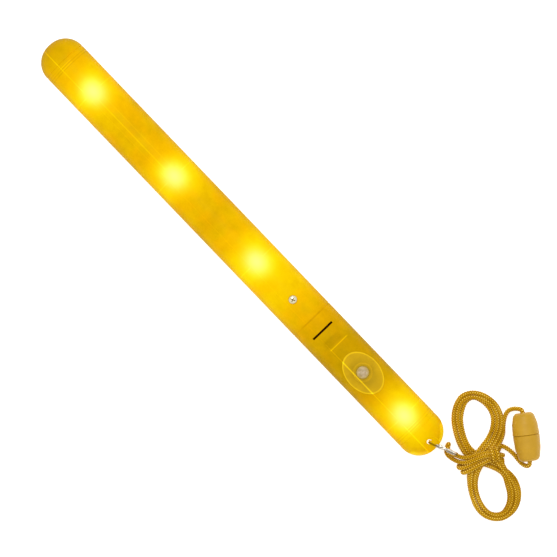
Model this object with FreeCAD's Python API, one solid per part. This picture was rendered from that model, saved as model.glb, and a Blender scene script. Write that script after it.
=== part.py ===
import FreeCAD, Part
import math
import os
from FreeCAD import Placement, Rotation, Vector

# Traffic baton light lying on its side, in millimetres.
# Origin: on the floor under the middle of the baton.  +X runs to the lanyard end, +Z is up, button on top.

# ---------------------------------------------------------------- driving dimensions
LENGTH = 325.5
BODY_R = 14.0
WALL = 1.8
AXIS_Z = BODY_R
BORE_R = BODY_R - WALL
HALF = LENGTH / 2
FREE_SEAM = -HALF + 13.45
LANYARD_SEAM = HALF - 15.45
DOME_R = 13.0
EDGE_ROUND = 0.4
TIP_FLAT = 1.0
CAP_WALL = 2.2
FREE_HOLLOW = 9.0
LANYARD_HOLLOW = 3.5
HOLLOW_TAPER = 0.6
END_CHAMFER = 0.25
END_CHAMFER_LONG = 0.5

# cutting tools run this far past what they cut
MARGIN = 1.0
TOOL_TOP = AXIS_Z + 20.0
TOOL_BOTTOM = AXIS_Z + 5.0

# screw thread of both caps, right-handed
PITCH = 1.5
SPIGOT_R = 12.0
SPIGOT_BORE_R = 10.2
SPIGOT_LENGTH = 8.0
THREAD_HEIGHT = 0.65
THREAD_ROOT = 0.80
THREAD_CREST = 0.35
THREAD_START = 2.6
THREAD_TURNS = 2.75
THREAD_GAP = 0.2
THREAD_SINK = 0.15
LEAD_IN_TURNS = 1
RUN_OUT_TURNS = 0.25
SPIGOT_CHAMFER = 0.5
THREADED_END = 12.0

# O-ring under each cap's shoulder
ORING_R = 12.25
ORING_SECTION_R = 0.62
ORING_X = 0.85
GROOVE_R = 11.6
GROOVE_HALF = 0.65
MOUTH_R = 12.95
MOUTH_DEPTH = 1.7

# lanyard eye in the end of the cap
EYE_X = HALF - 5.35
EYE_R = 1.5
TAB_HALF = 2.5
SCOOP_X = HALF - 3.15
SCOOP_FLOOR_R = 4.4
SCOOP_RIM_R = 5.4
SCOOP_HEIGHT = 12.0

# oval window, membrane and button
BUTTON_X = 100.9
MEMBRANE_X = 101.3
OVAL_LONG = 14.3
OVAL_SHORT = 10.25
WINDOW_LONG = 11.6
WINDOW_SHORT = 7.6
RECESS_R = 13.0
MEMBRANE_R = 14.2
OVAL_GAP = 0.1
PLUG_R = 12.35
BUTTON_R = 3.8
BUTTON_GAP = 0.08
BUTTON_TOP = AXIS_Z + 14.9
COLLAR_R = 5.5
COLLAR_TOP = AXIS_Z + 14.4
COLLAR_BOTTOM = AXIS_Z + 12.0
BUTTON_FLANGE_R = 4.6
BUTTON_FLANGE = 0.8
FLANGE_GAP = 0.15
COLLAR_EDGE = 0.3
STEM_R = 1.5
PRESS_GAP = 0.05
BUTTON_RIM = 0.6
BUTTON_DOME = 0.05

# slot in the shell, screw and its seat
SLOT_X = 67.4
SLOT_LENGTH = 15.0
SLOT_WIDTH = 1.3
SCREW_X = 42.5
SCREW_HEAD_R = 2.5
SCREW_HEAD = 1.5
SCREW_SEAT_Z = AXIS_Z + 12.6
SCREW_SEAT_R = 2.75
SCREW_SHANK_R = 1.4
SCREW_SHANK = 6.8
SCREW_GAP = 0.05
SHELL_HOLE_R = 1.7
CROSS_ARM = 1.5
CROSS_WIDTH = 0.6
CROSS_DEPTH = 0.9
CROSS_TURN = 20.0
MOULD_LINE_ANGLE = 18.0
MOULD_LINE_WIDTH = 0.5
MOULD_LINE_RISE = 0.15
RING_LINE_X = 58.3
RING_LINE_WIDTH = 0.6
RING_LINE_DEPTH = 0.2

# light stations along the baton
LIGHT_X = [-124.3, -56.6, 12.2, 135.6]
BOARD_THICK = 1.2
BOARD_WIDTH = 16.0
LIGHT_BOARD = (-136.0, 25.0)
SWITCH_BOARD = (81.0, 138.8)
LED_SIDE = 5.0
LED_BASE = 1.6
LED_LENS_R = 2.0
LED_LENS_DROP = 0.3
FRAME_R = 11.95
FRAME_RIB_BORE = 9.6
FRAME_RIB = 2.0
FRONT_RIBS = [-136.5, -90.5, -22.2, 23.8]
REAR_RIBS = [80.6, 115.5, 128.5]
RAIL_IN = 7.2
RAIL_OUT = 10.8
RAIL_HALF = 1.9
GROOVE_CLEAR = 0.05
FRAME_GAP = 0.1
FRAME_PAST_LIGHT_BOARD = 1.0
FRAME_PAST_SWITCH_BOARD = 0.2
SPIGOT_CLEAR = 0.3

# battery tray and cells (AAA)
TRAY = (26.4, 80.0)
TRAY_WALL = 2.0
CELL_R = 5.25
CELL_LENGTH = 43.5
CELL_EDGE = 0.4
NUB_R = 1.9
NUB = 1.0
CELL_Y = 5.4
TROUGH_R = 5.35
PLATE = 0.4
PLATE_HALF = 3.8
PLATES_APART = 1.0
PLATE_SLOT_Y = CELL_Y + 4.0
SPRING_WIRE_R = 0.3
SPRING_R = 3.0
SPRING_TURNS = 4
SPRING_STEPS_PER_TURN = 16
SPRING_GAP = 0.05
WIRE_R = 0.7
RESISTOR_R = 1.1
RESISTOR_HALF = 3.0
RESISTOR_LIFT = 0.3
RESISTOR_PLACES = {"front": (1.5, 4.5), "rear": (120.0, 4.0)}
LEAD_R = 0.35
LEAD_THINNER = 0.08
LEAD_OUT = 1.3
CHIP_X = 90.0
CHIP_LONG = 5.0
CHIP_SHORT = 4.0
CHIP_HEIGHT = 1.5
WIRE_CHANNEL_R = 0.95
WIRE_Y = 9.2
WIRE_Z = 6.1
WIRE_PAD_Y = 6.2
WIRE_LEAD = 4.5
WIRE_ENDS = (17.5, 88.0)
TRAY_CORE_R = 10.9
TRAY_RIBS = [(39.0, 46.0), (57.5, 59.1)]

# switch under the button
SWITCH_SIDE = 6.0
SWITCH_HEIGHT = 3.5
ACTUATOR_R = 1.7
ACTUATOR_POCKET_R = 1.78
ACTUATOR_POCKET = 1.2
ACTUATOR_FREE = 0.6
ACTUATOR_TOP = AXIS_Z + 10.4

# split ring: two flat turns of wire, standing upright, 21.7 degrees off the baton's axis
RING_R = 8.9
RING_WIRE_R = 0.5
RING_STEP = 1.08
RING_TURN = 21.7
RING_CROSSOVER = 24.0
RING_POINT_STEP = 12.0

# lanyard cord and hank
CORD_D = 2.8
CORD_R = CORD_D / 2
ARC_SHARE = 0.45
FOLD_R = 3.15
FOLD_PAST = 1.4
FOLD_STEP = 30
FOLD_BEARING = 116.7
FOLD_ALONG = 1.0
LEG_UPPER = [(169.4, 1.6, 7.4), (173.2, 3.6, 5.9), (177.2, 5.6, 4.9), (181.4, 7.6, 4.4)]
LEG_LOWER = [(169.6, 1.6, 1.9), (173.2, 2.6, 1.5), (177.4, 3.6, 1.6), (181.8, 5.4, 1.9)]
TAIL_LOWER = [(188.6, 27.4, 3.0), (193.0, 30.0, 2.6), (198.2, 30.9, 2.4), (202.6, 30.3, 2.8),
              (206.4, 30.4, 4.2), (208.6, 31.9, 6.4)]
TAIL_UPPER = [(177.0, 43.6, 2.4), (176.9, 46.4, 2.8), (178.2, 49.0, 4.2), (180.4, 51.2, 6.2)]
HANK_HEIGHT = 5.6
TIE_HEIGHT = 11.6
TIE_EDGE = 1.2
TIE_WIDTH = 6.2
TIE_LEFT = (183.6, 4.2)
KNOT = (190.2, 21.6)
KNOT_R = 4.4
HANK_OUTER = [(170.2, 8.9), (158.0, 15.4), (151.0, 25.6), (151.4, 37.4), (162.0, 45.0), (176.2, 43.8),
              (184.8, 33.4), (194.2, 26.0), (208.8, 22.2), (218.2, 15.4), (221.4, 4.9), (216.6, -5.4),
              (205.4, -8.0), (191.0, -1.0), (181.2, 2.2)]
UPPER_HOLE = [(158.9, 36.1), (157.7, 28.9), (163.4, 20.4), (172.5, 16.0), (180.6, 15.3), (178.1, 26.4),
              (174.8, 32.6), (166.6, 38.0)]
LOWER_HOLE = [(190.4, 14.4), (192.7, 7.1), (200.8, 1.0), (210.0, -0.9), (215.6, 2.3), (212.2, 9.6),
              (203.8, 15.2), (196.1, 14.9)]

# safety clasp: a barrel in two halves, lying on the floor
CLASP_R = 7.85
CLASP_END_R = 4.6
CLASP_SHOULDER_R = 6.3
CLASP_CORNER_R = 5.7
CLASP_Z = CLASP_R
CLASP_SOCKET_END = (183.8, 51.3)
CLASP_PLUG_END = (206.7, 34.7)
CLASP_SEAM_SHARE = 0.46
CLASP_GAP = 0.15
CLASP_PLUG_R = 4.0
CLASP_PLUG_GAP = 0.1
CLASP_PLUG_LENGTH = 7.0
CLASP_PLUG_EDGE = 0.6
CLASP_SOCKET_SPARE = 0.4
CLASP_LIP = 0.3
CLASP_CORNER = 0.8
CLASP_SHOULDER = 1.8
CLASP_BULGE = 0.35
CLASP_SOCKET_BULGE_AT = 6.5
CLASP_PLUG_BULGE_AT = 7.5
CORD_HOLE_R = CORD_R + 0.05
TAIL_INSERT = 2.5
TAIL_LEAD = 1.6
CORD_HOLE_DEPTH = TAIL_INSERT

UP = Vector(0, 0, 1)
ALONG = Vector(1, 0, 0)


# ---------------------------------------------------------------- helpers
def save(name, shape):
    """Write one node and say how big it is."""
    if not shape.isValid():
        print("NOT VALID", name)
    shape.exportStep("parts/%s.step" % name)
    print("%-20s %10.1f mm3 %d solid" % (name, shape.Volume, len(shape.Solids)))


def turned(points):
    """Turn a closed (x, radius) outline about the baton's axis."""
    wire = Part.makePolygon([Vector(x, r, 0) for x, r in points + points[:1]])
    solid = Part.Face(wire).revolve(Vector(0, 0, 0), ALONG, 360)
    solid.translate(Vector(0, 0, AXIS_Z))
    return solid


def turned_edges(edges):
    """Turn a closed outline of edges, drawn as (x, radius), about the baton's axis."""
    wire = Part.Wire(Part.__sortEdges__(edges))
    solid = Part.Face(wire).revolve(Vector(0, 0, 0), ALONG, 360)
    solid.translate(Vector(0, 0, AXIS_Z))
    return solid


def box(x0, x1, y0, y1, z0, z1):
    return Part.makeBox(x1 - x0, y1 - y0, z1 - z0, Vector(x0, y0, z0))


def upright(x, y, z0, z1, radius):
    """A vertical cylinder."""
    return Part.makeCylinder(radius, z1 - z0, Vector(x, y, z0), UP)


def pipe_x(x0, x1, radius, y=0.0, z=AXIS_Z):
    """A cylinder along the baton."""
    return Part.makeCylinder(radius, x1 - x0, Vector(x0, y, z), ALONG)


def oval_prism(long_half, short_half):
    """A vertical prism of the window's oval, through the top wall only."""
    ellipse = Part.Ellipse(Vector(MEMBRANE_X, 0, AXIS_Z + 1), long_half, short_half)
    face = Part.Face(Part.Wire(ellipse.toShape()))
    return face.extrude(Vector(0, 0, 2 * BODY_R))


def one(shape):
    """The cleaned single solid of a boolean's result."""
    clean = shape.removeSplitter()
    return clean.Solids[0] if len(clean.Solids) == 1 else clean


def round_tube(name, route, section_r):
    """Straight runs joined by tangent arcs, swept with a round section."""
    points = [Vector(*p) for p in route]
    edges = []
    radii = []
    last = points[0]
    for before, corner, after in zip(points, points[1:], points[2:]):
        a = (before - corner)
        b = (after - corner)
        half_turn = (math.pi - a.getAngle(b)) / 2
        reach = ARC_SHARE * min(a.Length, b.Length)
        radius = reach / math.tan(half_turn)
        a.normalize()
        b.normalize()
        start = corner + a * reach
        end = corner + b * reach
        inward = (a + b).normalize()
        middle = corner + inward * (radius / math.cos(half_turn) - radius)
        edges.append(Part.LineSegment(last, start).toShape())
        edges.append(Part.Arc(start, middle, end).toShape())
        radii.append(radius)
        last = end
    edges.append(Part.LineSegment(last, points[-1]).toShape())
    path = Part.Wire(edges)
    first = points[1] - points[0]
    section = Part.Wire(Part.Circle(points[0], first, section_r).toShape())
    tube = path.makePipeShell([section], True, False)
    expected = math.pi * section_r ** 2 * path.Length
    print(name, "radii", " ".join("%.1f" % r for r in radii), "length %.1f" % path.Length,
          "volume share %.4f" % (tube.Volume / expected))
    return tube


def wire_coil(points, radius):
    """Round wire swept along a smooth curve that winds about local Z."""
    curve = Part.BSplineCurve()
    curve.interpolate(points)
    section = Part.Wire(Part.Circle(points[0], curve.tangent(curve.FirstParameter)[0], radius).toShape())
    pipe = Part.BRepOffsetAPI.MakePipeShell(Part.Wire(curve.toShape()))
    pipe.setBiNormalMode(UP)
    pipe.add(section)
    pipe.build()
    pipe.makeSolid()
    return pipe.shape()


# ---------------------------------------------------------------- screw threads
def thread_solid(turns, start, root_r, crest_r, root_width, crest_width):
    """A right-handed thread ridge about local Z; its middle starts at height start on the X side."""
    helix = Part.makeHelix(PITCH, turns * PITCH, root_r)
    helix.translate(Vector(0, 0, start))
    corners = [
        Vector(root_r, 0, start - root_width / 2),
        Vector(crest_r, 0, start - crest_width / 2),
        Vector(crest_r, 0, start + crest_width / 2),
        Vector(root_r, 0, start + root_width / 2),
    ]
    profile = Part.makePolygon(corners + corners[:1])
    return Part.Wire(helix.Edges).makePipeShell([profile], True, True)


def male_thread():
    root = SPIGOT_R - THREAD_SINK
    crest = SPIGOT_R + THREAD_HEIGHT
    slope = (THREAD_ROOT - THREAD_CREST) / THREAD_HEIGHT
    wide = THREAD_ROOT + slope * THREAD_SINK
    return thread_solid(THREAD_TURNS, THREAD_START, root, crest, wide, THREAD_CREST)


def female_thread():
    """The groove is the ridge grown by the gap, with extra turns out through the mouth."""
    slope = (THREAD_ROOT - THREAD_CREST) / THREAD_HEIGHT
    root = BORE_R - THREAD_SINK
    crest = SPIGOT_R + THREAD_HEIGHT + THREAD_GAP
    root_width = THREAD_ROOT - slope * (root - SPIGOT_R) + 2 * THREAD_GAP
    crest_width = THREAD_CREST - slope * THREAD_GAP + 2 * THREAD_GAP
    turns = THREAD_TURNS + LEAD_IN_TURNS + RUN_OUT_TURNS
    return thread_solid(turns, THREAD_START - LEAD_IN_TURNS * PITCH, root, crest, root_width, crest_width)


def at_seam(shape, seam, inward):
    """Move a thread from its own frame, where Z is depth past the seam, to one end of the baton."""
    placed = shape.copy()
    placed.Placement = Placement(Vector(seam, 0, AXIS_Z), Rotation(UP, Vector(inward, 0, 0)))
    return placed


# ---------------------------------------------------------------- outer pieces
def mould_line(x0, x1):
    """The fine raised line that the mould leaves along the tube."""
    half = MOULD_LINE_WIDTH / 2
    bead = box(x0, x1, -half, half, BODY_R - MARGIN, BODY_R + MOULD_LINE_RISE)
    bead.rotate(Vector(0, 0, 0), ALONG, MOULD_LINE_ANGLE)
    bead.translate(Vector(0, 0, AXIS_Z))
    return bead


def threaded_end(seam, inward):
    """One end of the tube: a mouth for the O-ring, then the thread's groove."""
    end = seam + inward * THREADED_END
    shape = turned([(seam, BORE_R), (seam, BODY_R - END_CHAMFER), (seam + inward * END_CHAMFER_LONG, BODY_R),
                    (end, BODY_R), (end, BORE_R)])
    mouth = sorted((seam, seam + inward * MOUTH_DEPTH))
    shape = shape.cut(pipe_x(mouth[0], mouth[1], MOUTH_R))
    return shape.cut(at_seam(female_thread(), seam, inward))


def near_window(radius):
    """A round bar along the baton, long enough to cover the window."""
    return pipe_x(MEMBRANE_X - 2 * OVAL_LONG, MEMBRANE_X + 2 * OVAL_LONG, radius)


def ring_line():
    """The fine groove round the tube between the light end and the battery end."""
    half = RING_LINE_WIDTH / 2
    outside = pipe_x(RING_LINE_X - half, RING_LINE_X + half, BODY_R + MARGIN)
    return outside.cut(pipe_x(RING_LINE_X - MARGIN, RING_LINE_X + MARGIN, BODY_R - RING_LINE_DEPTH))


def middle_tube(x0, x1):
    """The long stretch of tube with the window, the slot and the screw's seat."""
    shape = turned([(x0, BORE_R), (x0, BODY_R), (x1, BODY_R), (x1, BORE_R)])
    shape = shape.fuse(mould_line(x0, MEMBRANE_X - OVAL_LONG - MARGIN))
    shape = shape.fuse(mould_line(MEMBRANE_X + OVAL_LONG + MARGIN, x1))
    shape = shape.cut(oval_prism(OVAL_LONG, OVAL_SHORT).cut(near_window(RECESS_R)))
    shape = shape.cut(oval_prism(WINDOW_LONG, WINDOW_SHORT))
    shape = shape.cut(upright(SCREW_X, 0, AXIS_Z, TOOL_TOP, SHELL_HOLE_R))
    shape = shape.cut(upright(SCREW_X, 0, SCREW_SEAT_Z, TOOL_TOP, SCREW_SEAT_R))
    shape = shape.cut(ring_line())
    half = SLOT_WIDTH / 2
    slot = box(SLOT_X - half, SLOT_X + half, -SLOT_LENGTH / 2, SLOT_LENGTH / 2, TOOL_BOTTOM, TOOL_TOP)
    return shape.cut(slot)


def shell_tube():
    shape = middle_tube(FREE_SEAM + THREADED_END, LANYARD_SEAM - THREADED_END)
    shape = shape.fuse(threaded_end(FREE_SEAM, 1))
    return shape.fuse(threaded_end(LANYARD_SEAM, -1)).Solids[0]


def cap_outline(seam, tip, way):
    """Edges of a cap's half section: dome outside, hollow spigot and hollow dome inside."""
    rim = tip - way * DOME_R
    spigot_end = seam - way * SPIGOT_LENGTH
    mid = Vector(rim + way * DOME_R * math.sin(math.pi / 4), TIP_FLAT + DOME_R * math.cos(math.pi / 4), 0)
    points = [
        Vector(rim, BODY_R, 0), Vector(seam + way * EDGE_ROUND, BODY_R, 0),
        Vector(seam, BODY_R - EDGE_ROUND, 0), Vector(seam, SPIGOT_R, 0),
        Vector(spigot_end + way * SPIGOT_CHAMFER, SPIGOT_R, 0),
        Vector(spigot_end, SPIGOT_R - SPIGOT_CHAMFER, 0), Vector(spigot_end, SPIGOT_BORE_R, 0),
        Vector(seam + way * CAP_WALL, SPIGOT_BORE_R, 0),
    ]
    edges = [Part.Arc(Vector(rim, BODY_R, 0), mid, Vector(tip, TIP_FLAT, 0)).toShape()]
    edges.append(Part.LineSegment(Vector(tip, TIP_FLAT, 0), Vector(tip, 0, 0)).toShape())
    for a, b in zip(points, points[1:]):
        edges.append(Part.LineSegment(a, b).toShape())
    return edges, points[-1]


def cap(seam, tip, way, hollow):
    """A domed cap, hollow from the spigot to that far past the seam."""
    edges, corner = cap_outline(seam, tip, way)
    hollow_end = seam + way * hollow
    inner = Vector(hollow_end, SPIGOT_BORE_R - abs(hollow_end - corner.x) * HOLLOW_TAPER, 0)
    edges.append(Part.LineSegment(corner, inner).toShape())
    edges.append(Part.LineSegment(inner, Vector(hollow_end, 0, 0)).toShape())
    edges.append(Part.LineSegment(Vector(hollow_end, 0, 0), Vector(tip, 0, 0)).toShape())
    shape = turned_edges(edges)
    groove_x = seam - way * ORING_X
    groove = pipe_x(groove_x - GROOVE_HALF, groove_x + GROOVE_HALF, SPIGOT_R + MARGIN)
    groove = groove.cut(pipe_x(groove_x - MARGIN, groove_x + MARGIN, GROOVE_R))
    shape = shape.cut(groove)
    return shape.fuse(at_seam(male_thread(), seam, -way))


def cap_free_end():
    return one(cap(FREE_SEAM, -HALF, -1, FREE_HOLLOW))


def cap_lanyard_end():
    shape = cap(LANYARD_SEAM, HALF, 1, LANYARD_HOLLOW)
    floor = Vector(SCOOP_X, 0, AXIS_Z + TAB_HALF)
    for side in (0, 180):
        scoop = Part.makeCone(SCOOP_FLOOR_R, SCOOP_RIM_R, SCOOP_HEIGHT, floor, UP)
        scoop.rotate(Vector(0, 0, AXIS_Z), ALONG, side)
        shape = shape.cut(scoop)
    return one(shape.cut(upright(EYE_X, 0, 0, 2 * AXIS_Z, EYE_R)))


def o_ring(seam, way):
    ring = Part.makeTorus(ORING_R, ORING_SECTION_R, Vector(0, 0, 0), ALONG)
    ring.translate(Vector(seam - way * ORING_X, 0, AXIS_Z))
    return ring


def button_membrane():
    """An oval skin let into the shell, with a plug in the window and a raised collar for the button."""
    skin = oval_prism(OVAL_LONG - OVAL_GAP, OVAL_SHORT - OVAL_GAP)
    skin = skin.common(near_window(MEMBRANE_R)).cut(near_window(RECESS_R))
    plug = oval_prism(WINDOW_LONG - OVAL_GAP, WINDOW_SHORT - OVAL_GAP)
    plug = plug.common(near_window(RECESS_R + OVAL_GAP)).cut(near_window(PLUG_R))
    collar = upright(BUTTON_X, 0, COLLAR_BOTTOM, COLLAR_TOP, COLLAR_R)
    rim = [edge for edge in collar.Edges if edge.BoundBox.ZMin > COLLAR_TOP - COLLAR_EDGE]
    collar = collar.makeChamfer(COLLAR_EDGE, rim)
    shape = skin.fuse(plug).fuse(collar)
    shape = shape.cut(upright(BUTTON_X, 0, AXIS_Z, COLLAR_BOTTOM, BUTTON_FLANGE_R + FLANGE_GAP))
    return one(shape.cut(upright(BUTTON_X, 0, AXIS_Z, TOOL_TOP, BUTTON_R + BUTTON_GAP)))


def button():
    """Domed round button with a keeper flange under the collar and a stem to the switch."""
    flange_top = COLLAR_BOTTOM - PRESS_GAP
    flange_bottom = flange_top - BUTTON_FLANGE
    stem_bottom = ACTUATOR_TOP + PRESS_GAP
    rounded = BUTTON_RIM * (1 - math.cos(math.pi / 4))
    crown = Vector(BUTTON_R - BUTTON_RIM, 0, BUTTON_TOP - BUTTON_DOME)
    outline = [(0, stem_bottom), (STEM_R, stem_bottom), (STEM_R, flange_bottom),
               (BUTTON_FLANGE_R, flange_bottom), (BUTTON_FLANGE_R, flange_top), (BUTTON_R, flange_top),
               (BUTTON_R, BUTTON_TOP - BUTTON_RIM)]
    points = [Vector(r, 0, z) for r, z in outline]
    edges = [Part.LineSegment(a, b).toShape() for a, b in zip(points, points[1:])]
    shoulder = Vector(BUTTON_R - rounded, 0, BUTTON_TOP - BUTTON_DOME - rounded)
    edges.append(Part.Arc(points[-1], shoulder, crown).toShape())
    edges.append(Part.LineSegment(crown, Vector(0, 0, BUTTON_TOP)).toShape())
    edges.append(Part.LineSegment(Vector(0, 0, BUTTON_TOP), points[0]).toShape())
    shape = Part.Face(Part.Wire(edges)).revolve(Vector(0, 0, 0), UP, 360)
    shape.translate(Vector(BUTTON_X, 0, 0))
    return shape


def body_screw():
    """Pan-head screw with a cross recess."""
    head_top = SCREW_SEAT_Z + SCREW_HEAD
    head = upright(SCREW_X, 0, SCREW_SEAT_Z, head_top, SCREW_HEAD_R)
    ball_r = 2 * SCREW_HEAD_R
    dome = Part.makeSphere(ball_r, Vector(SCREW_X, 0, head_top - ball_r))
    head = head.common(dome)
    shank = upright(SCREW_X, 0, SCREW_SEAT_Z - SCREW_SHANK, SCREW_SEAT_Z, SCREW_SHANK_R)
    shape = head.fuse(shank)
    for turn in (0, 90):
        arm = box(SCREW_X - CROSS_ARM, SCREW_X + CROSS_ARM, -CROSS_WIDTH / 2, CROSS_WIDTH / 2,
                  head_top - CROSS_DEPTH, head_top + MARGIN)
        arm.rotate(Vector(SCREW_X, 0, 0), UP, turn + CROSS_TURN)
        shape = shape.cut(arm)
    return one(shape)


# ---------------------------------------------------------------- inner pieces
def board(span):
    half = BOARD_THICK / 2
    return box(span[0], span[1], -BOARD_WIDTH / 2, BOARD_WIDTH / 2, AXIS_Z - half, AXIS_Z + half)


def wire_channels(x0, x1):
    """Room for the two wires, one on each side above the cells."""
    channels = pipe_x(x0, x1, WIRE_CHANNEL_R, WIRE_Y, AXIS_Z + WIRE_Z)
    return channels.fuse(pipe_x(x0, x1, WIRE_CHANNEL_R, -WIRE_Y, AXIS_Z + WIRE_Z))


def light_frame(span, ribs, spigot):
    """Two grooved rails that hold a board, joined by rings in the bore and clear of the cap's spigot."""
    shape = None
    for side in (-1, 1):
        inner, outer = sorted((side * RAIL_IN, side * RAIL_OUT))
        rail = box(span[0], span[1], inner, outer, AXIS_Z - RAIL_HALF, AXIS_Z + RAIL_HALF)
        shape = rail if shape is None else shape.fuse(rail)
    for x in ribs:
        ring = pipe_x(x, x + FRAME_RIB, FRAME_R).cut(pipe_x(x, x + FRAME_RIB, FRAME_RIB_BORE))
        shape = shape.fuse(ring)
    half = BOARD_THICK / 2 + GROOVE_CLEAR
    edge = BOARD_WIDTH / 2 + GROOVE_CLEAR
    shape = shape.cut(box(span[0], span[1], -edge, edge, AXIS_Z - half, AXIS_Z + half))
    x0, x1 = spigot
    shape = shape.cut(pipe_x(x0, x1, FRAME_R + MARGIN).cut(pipe_x(x0, x1, SPIGOT_BORE_R - SPIGOT_CLEAR)))
    return one(shape.cut(wire_channels(span[0] - MARGIN, span[1] + MARGIN)))


def led(x, side):
    """A square lamp body with a domed lens; side is +1 above the board and -1 below it."""
    face = AXIS_Z + BOARD_THICK / 2
    half = LED_SIDE / 2
    body = box(x - half, x + half, -half, half, face, face + LED_BASE)
    lens = Part.makeSphere(LED_LENS_R, Vector(x, 0, face + LED_BASE - LED_LENS_DROP))
    shape = body.fuse(lens.cut(box(x - half, x + half, -half, half, face - MARGIN, face + LED_BASE / 2)))
    if side < 0:
        shape.rotate(Vector(0, 0, AXIS_Z), ALONG, 180)
    return one(shape)


def battery_tray():
    """Half-round tray that holds the cells from above, with end walls, a screw boss and a locating rib."""
    inside = (TRAY[0] + TRAY_WALL, TRAY[1] - TRAY_WALL)
    upper = box(TRAY[0] - MARGIN, TRAY[1] + MARGIN, -2 * BODY_R, 2 * BODY_R, AXIS_Z, 3 * BODY_R)
    shape = pipe_x(TRAY[0], TRAY[1], TRAY_CORE_R).common(upper)
    for x0, x1 in TRAY_RIBS:
        shape = shape.fuse(pipe_x(x0, x1, FRAME_R).common(upper))
    for side in (-1, 1):
        shape = shape.cut(pipe_x(inside[0], inside[1], TROUGH_R, side * CELL_Y))
    for x0, x1 in ((TRAY[0], inside[0]), (inside[1], TRAY[1])):
        shape = shape.fuse(pipe_x(x0, x1, FRAME_R))
    for x0 in (inside[0], inside[1] - PLATE):
        slot = box(x0, x0 + PLATE, -PLATE_SLOT_Y, PLATE_SLOT_Y, AXIS_Z - PLATE_HALF, AXIS_Z + PLATE_HALF)
        shape = shape.cut(slot)
    shape = shape.cut(wire_channels(TRAY[0] - MARGIN, TRAY[1] + MARGIN))
    return one(shape.cut(upright(SCREW_X, 0, TOOL_BOTTOM, TOOL_TOP, SCREW_SHANK_R + SCREW_GAP)))


def cell(side, nub_way):
    """An AAA cell; nub_way is the end (+1 or -1 along X) that its positive nub points to."""
    first, last = TRAY[0] + TRAY_WALL + PLATE, TRAY[1] - TRAY_WALL - PLATE
    if nub_way < 0:
        can = pipe_x(first + NUB, first + NUB + CELL_LENGTH, CELL_R, side * CELL_Y)
        nub = pipe_x(first, first + NUB, NUB_R, side * CELL_Y)
    else:
        can = pipe_x(last - NUB - CELL_LENGTH, last - NUB, CELL_R, side * CELL_Y)
        nub = pipe_x(last - NUB, last, NUB_R, side * CELL_Y)
    ends = [edge for edge in can.Edges if edge.Closed]
    return one(can.makeFillet(CELL_EDGE, ends).fuse(nub))


def contact_spring(side, x0, x1):
    """A short coil of wire between a contact plate and a cell."""
    length = x1 - x0 - 2 * (SPRING_WIRE_R + SPRING_GAP)
    steps = SPRING_TURNS * SPRING_STEPS_PER_TURN
    points = []
    for i in range(steps + 1):
        turn = 2 * math.pi * i / SPRING_STEPS_PER_TURN
        points.append(Vector(SPRING_R * math.cos(turn), SPRING_R * math.sin(turn), length * i / steps))
    coil = wire_coil(points, SPRING_WIRE_R)
    coil.rotate(Vector(0, 0, 0), Vector(0, 1, 0), 90)
    coil.translate(Vector(x0 + SPRING_WIRE_R + SPRING_GAP, side * CELL_Y, AXIS_Z))
    return coil


def contact_plate(x0, y0, y1):
    return box(x0, x0 + PLATE, y0, y1, AXIS_Z - PLATE_HALF, AXIS_Z + PLATE_HALF)


def tact_switch():
    base = AXIS_Z + BOARD_THICK / 2
    half = SWITCH_SIDE / 2
    top = base + SWITCH_HEIGHT
    shape = box(BUTTON_X - half, BUTTON_X + half, -half, half, base, top)
    return one(shape.cut(upright(BUTTON_X, 0, top - ACTUATOR_POCKET, top, ACTUATOR_POCKET_R)))


def tact_actuator():
    top = AXIS_Z + BOARD_THICK / 2 + SWITCH_HEIGHT
    return upright(BUTTON_X, 0, top - ACTUATOR_POCKET + ACTUATOR_FREE, ACTUATOR_TOP, ACTUATOR_R)


def driver_chip():
    top = AXIS_Z + BOARD_THICK / 2
    long_half, short_half = CHIP_LONG / 2, CHIP_SHORT / 2
    return box(CHIP_X - long_half, CHIP_X + long_half, -short_half, short_half, top, top + CHIP_HEIGHT)


def resistor(x, y):
    """A small wire-ended resistor standing on its two bent leads."""
    board_top = AXIS_Z + BOARD_THICK / 2
    z = board_top + RESISTOR_R + RESISTOR_LIFT
    body = pipe_x(x - RESISTOR_HALF, x + RESISTOR_HALF, RESISTOR_R, y, z)
    span = RESISTOR_HALF + LEAD_OUT
    shape = body.fuse(pipe_x(x - span, x + span, LEAD_R - LEAD_THINNER, y, z))
    for end in (-span, span):
        shape = shape.fuse(upright(x + end, y, board_top, z + LEAD_R, LEAD_R))
    return one(shape)


def wire(name, side):
    """An insulated wire from the light board, past the cells, to the switch board."""
    board_top = AXIS_Z + BOARD_THICK / 2
    high = AXIS_Z + WIRE_Z
    front, rear = WIRE_ENDS
    route = [(front, side * WIRE_PAD_Y, board_top), (front, side * WIRE_PAD_Y, high),
             (front + WIRE_LEAD, side * WIRE_Y, high), (rear - WIRE_LEAD, side * WIRE_Y, high),
             (rear, side * WIRE_PAD_Y, high), (rear, side * WIRE_PAD_Y, board_top)]
    return round_tube(name, route, WIRE_R)


# ---------------------------------------------------------------- lanyard
def ring_centre():
    turn = math.radians(RING_TURN)
    return Vector(EYE_X + RING_R * math.cos(turn), RING_R * math.sin(turn), AXIS_Z)


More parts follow.
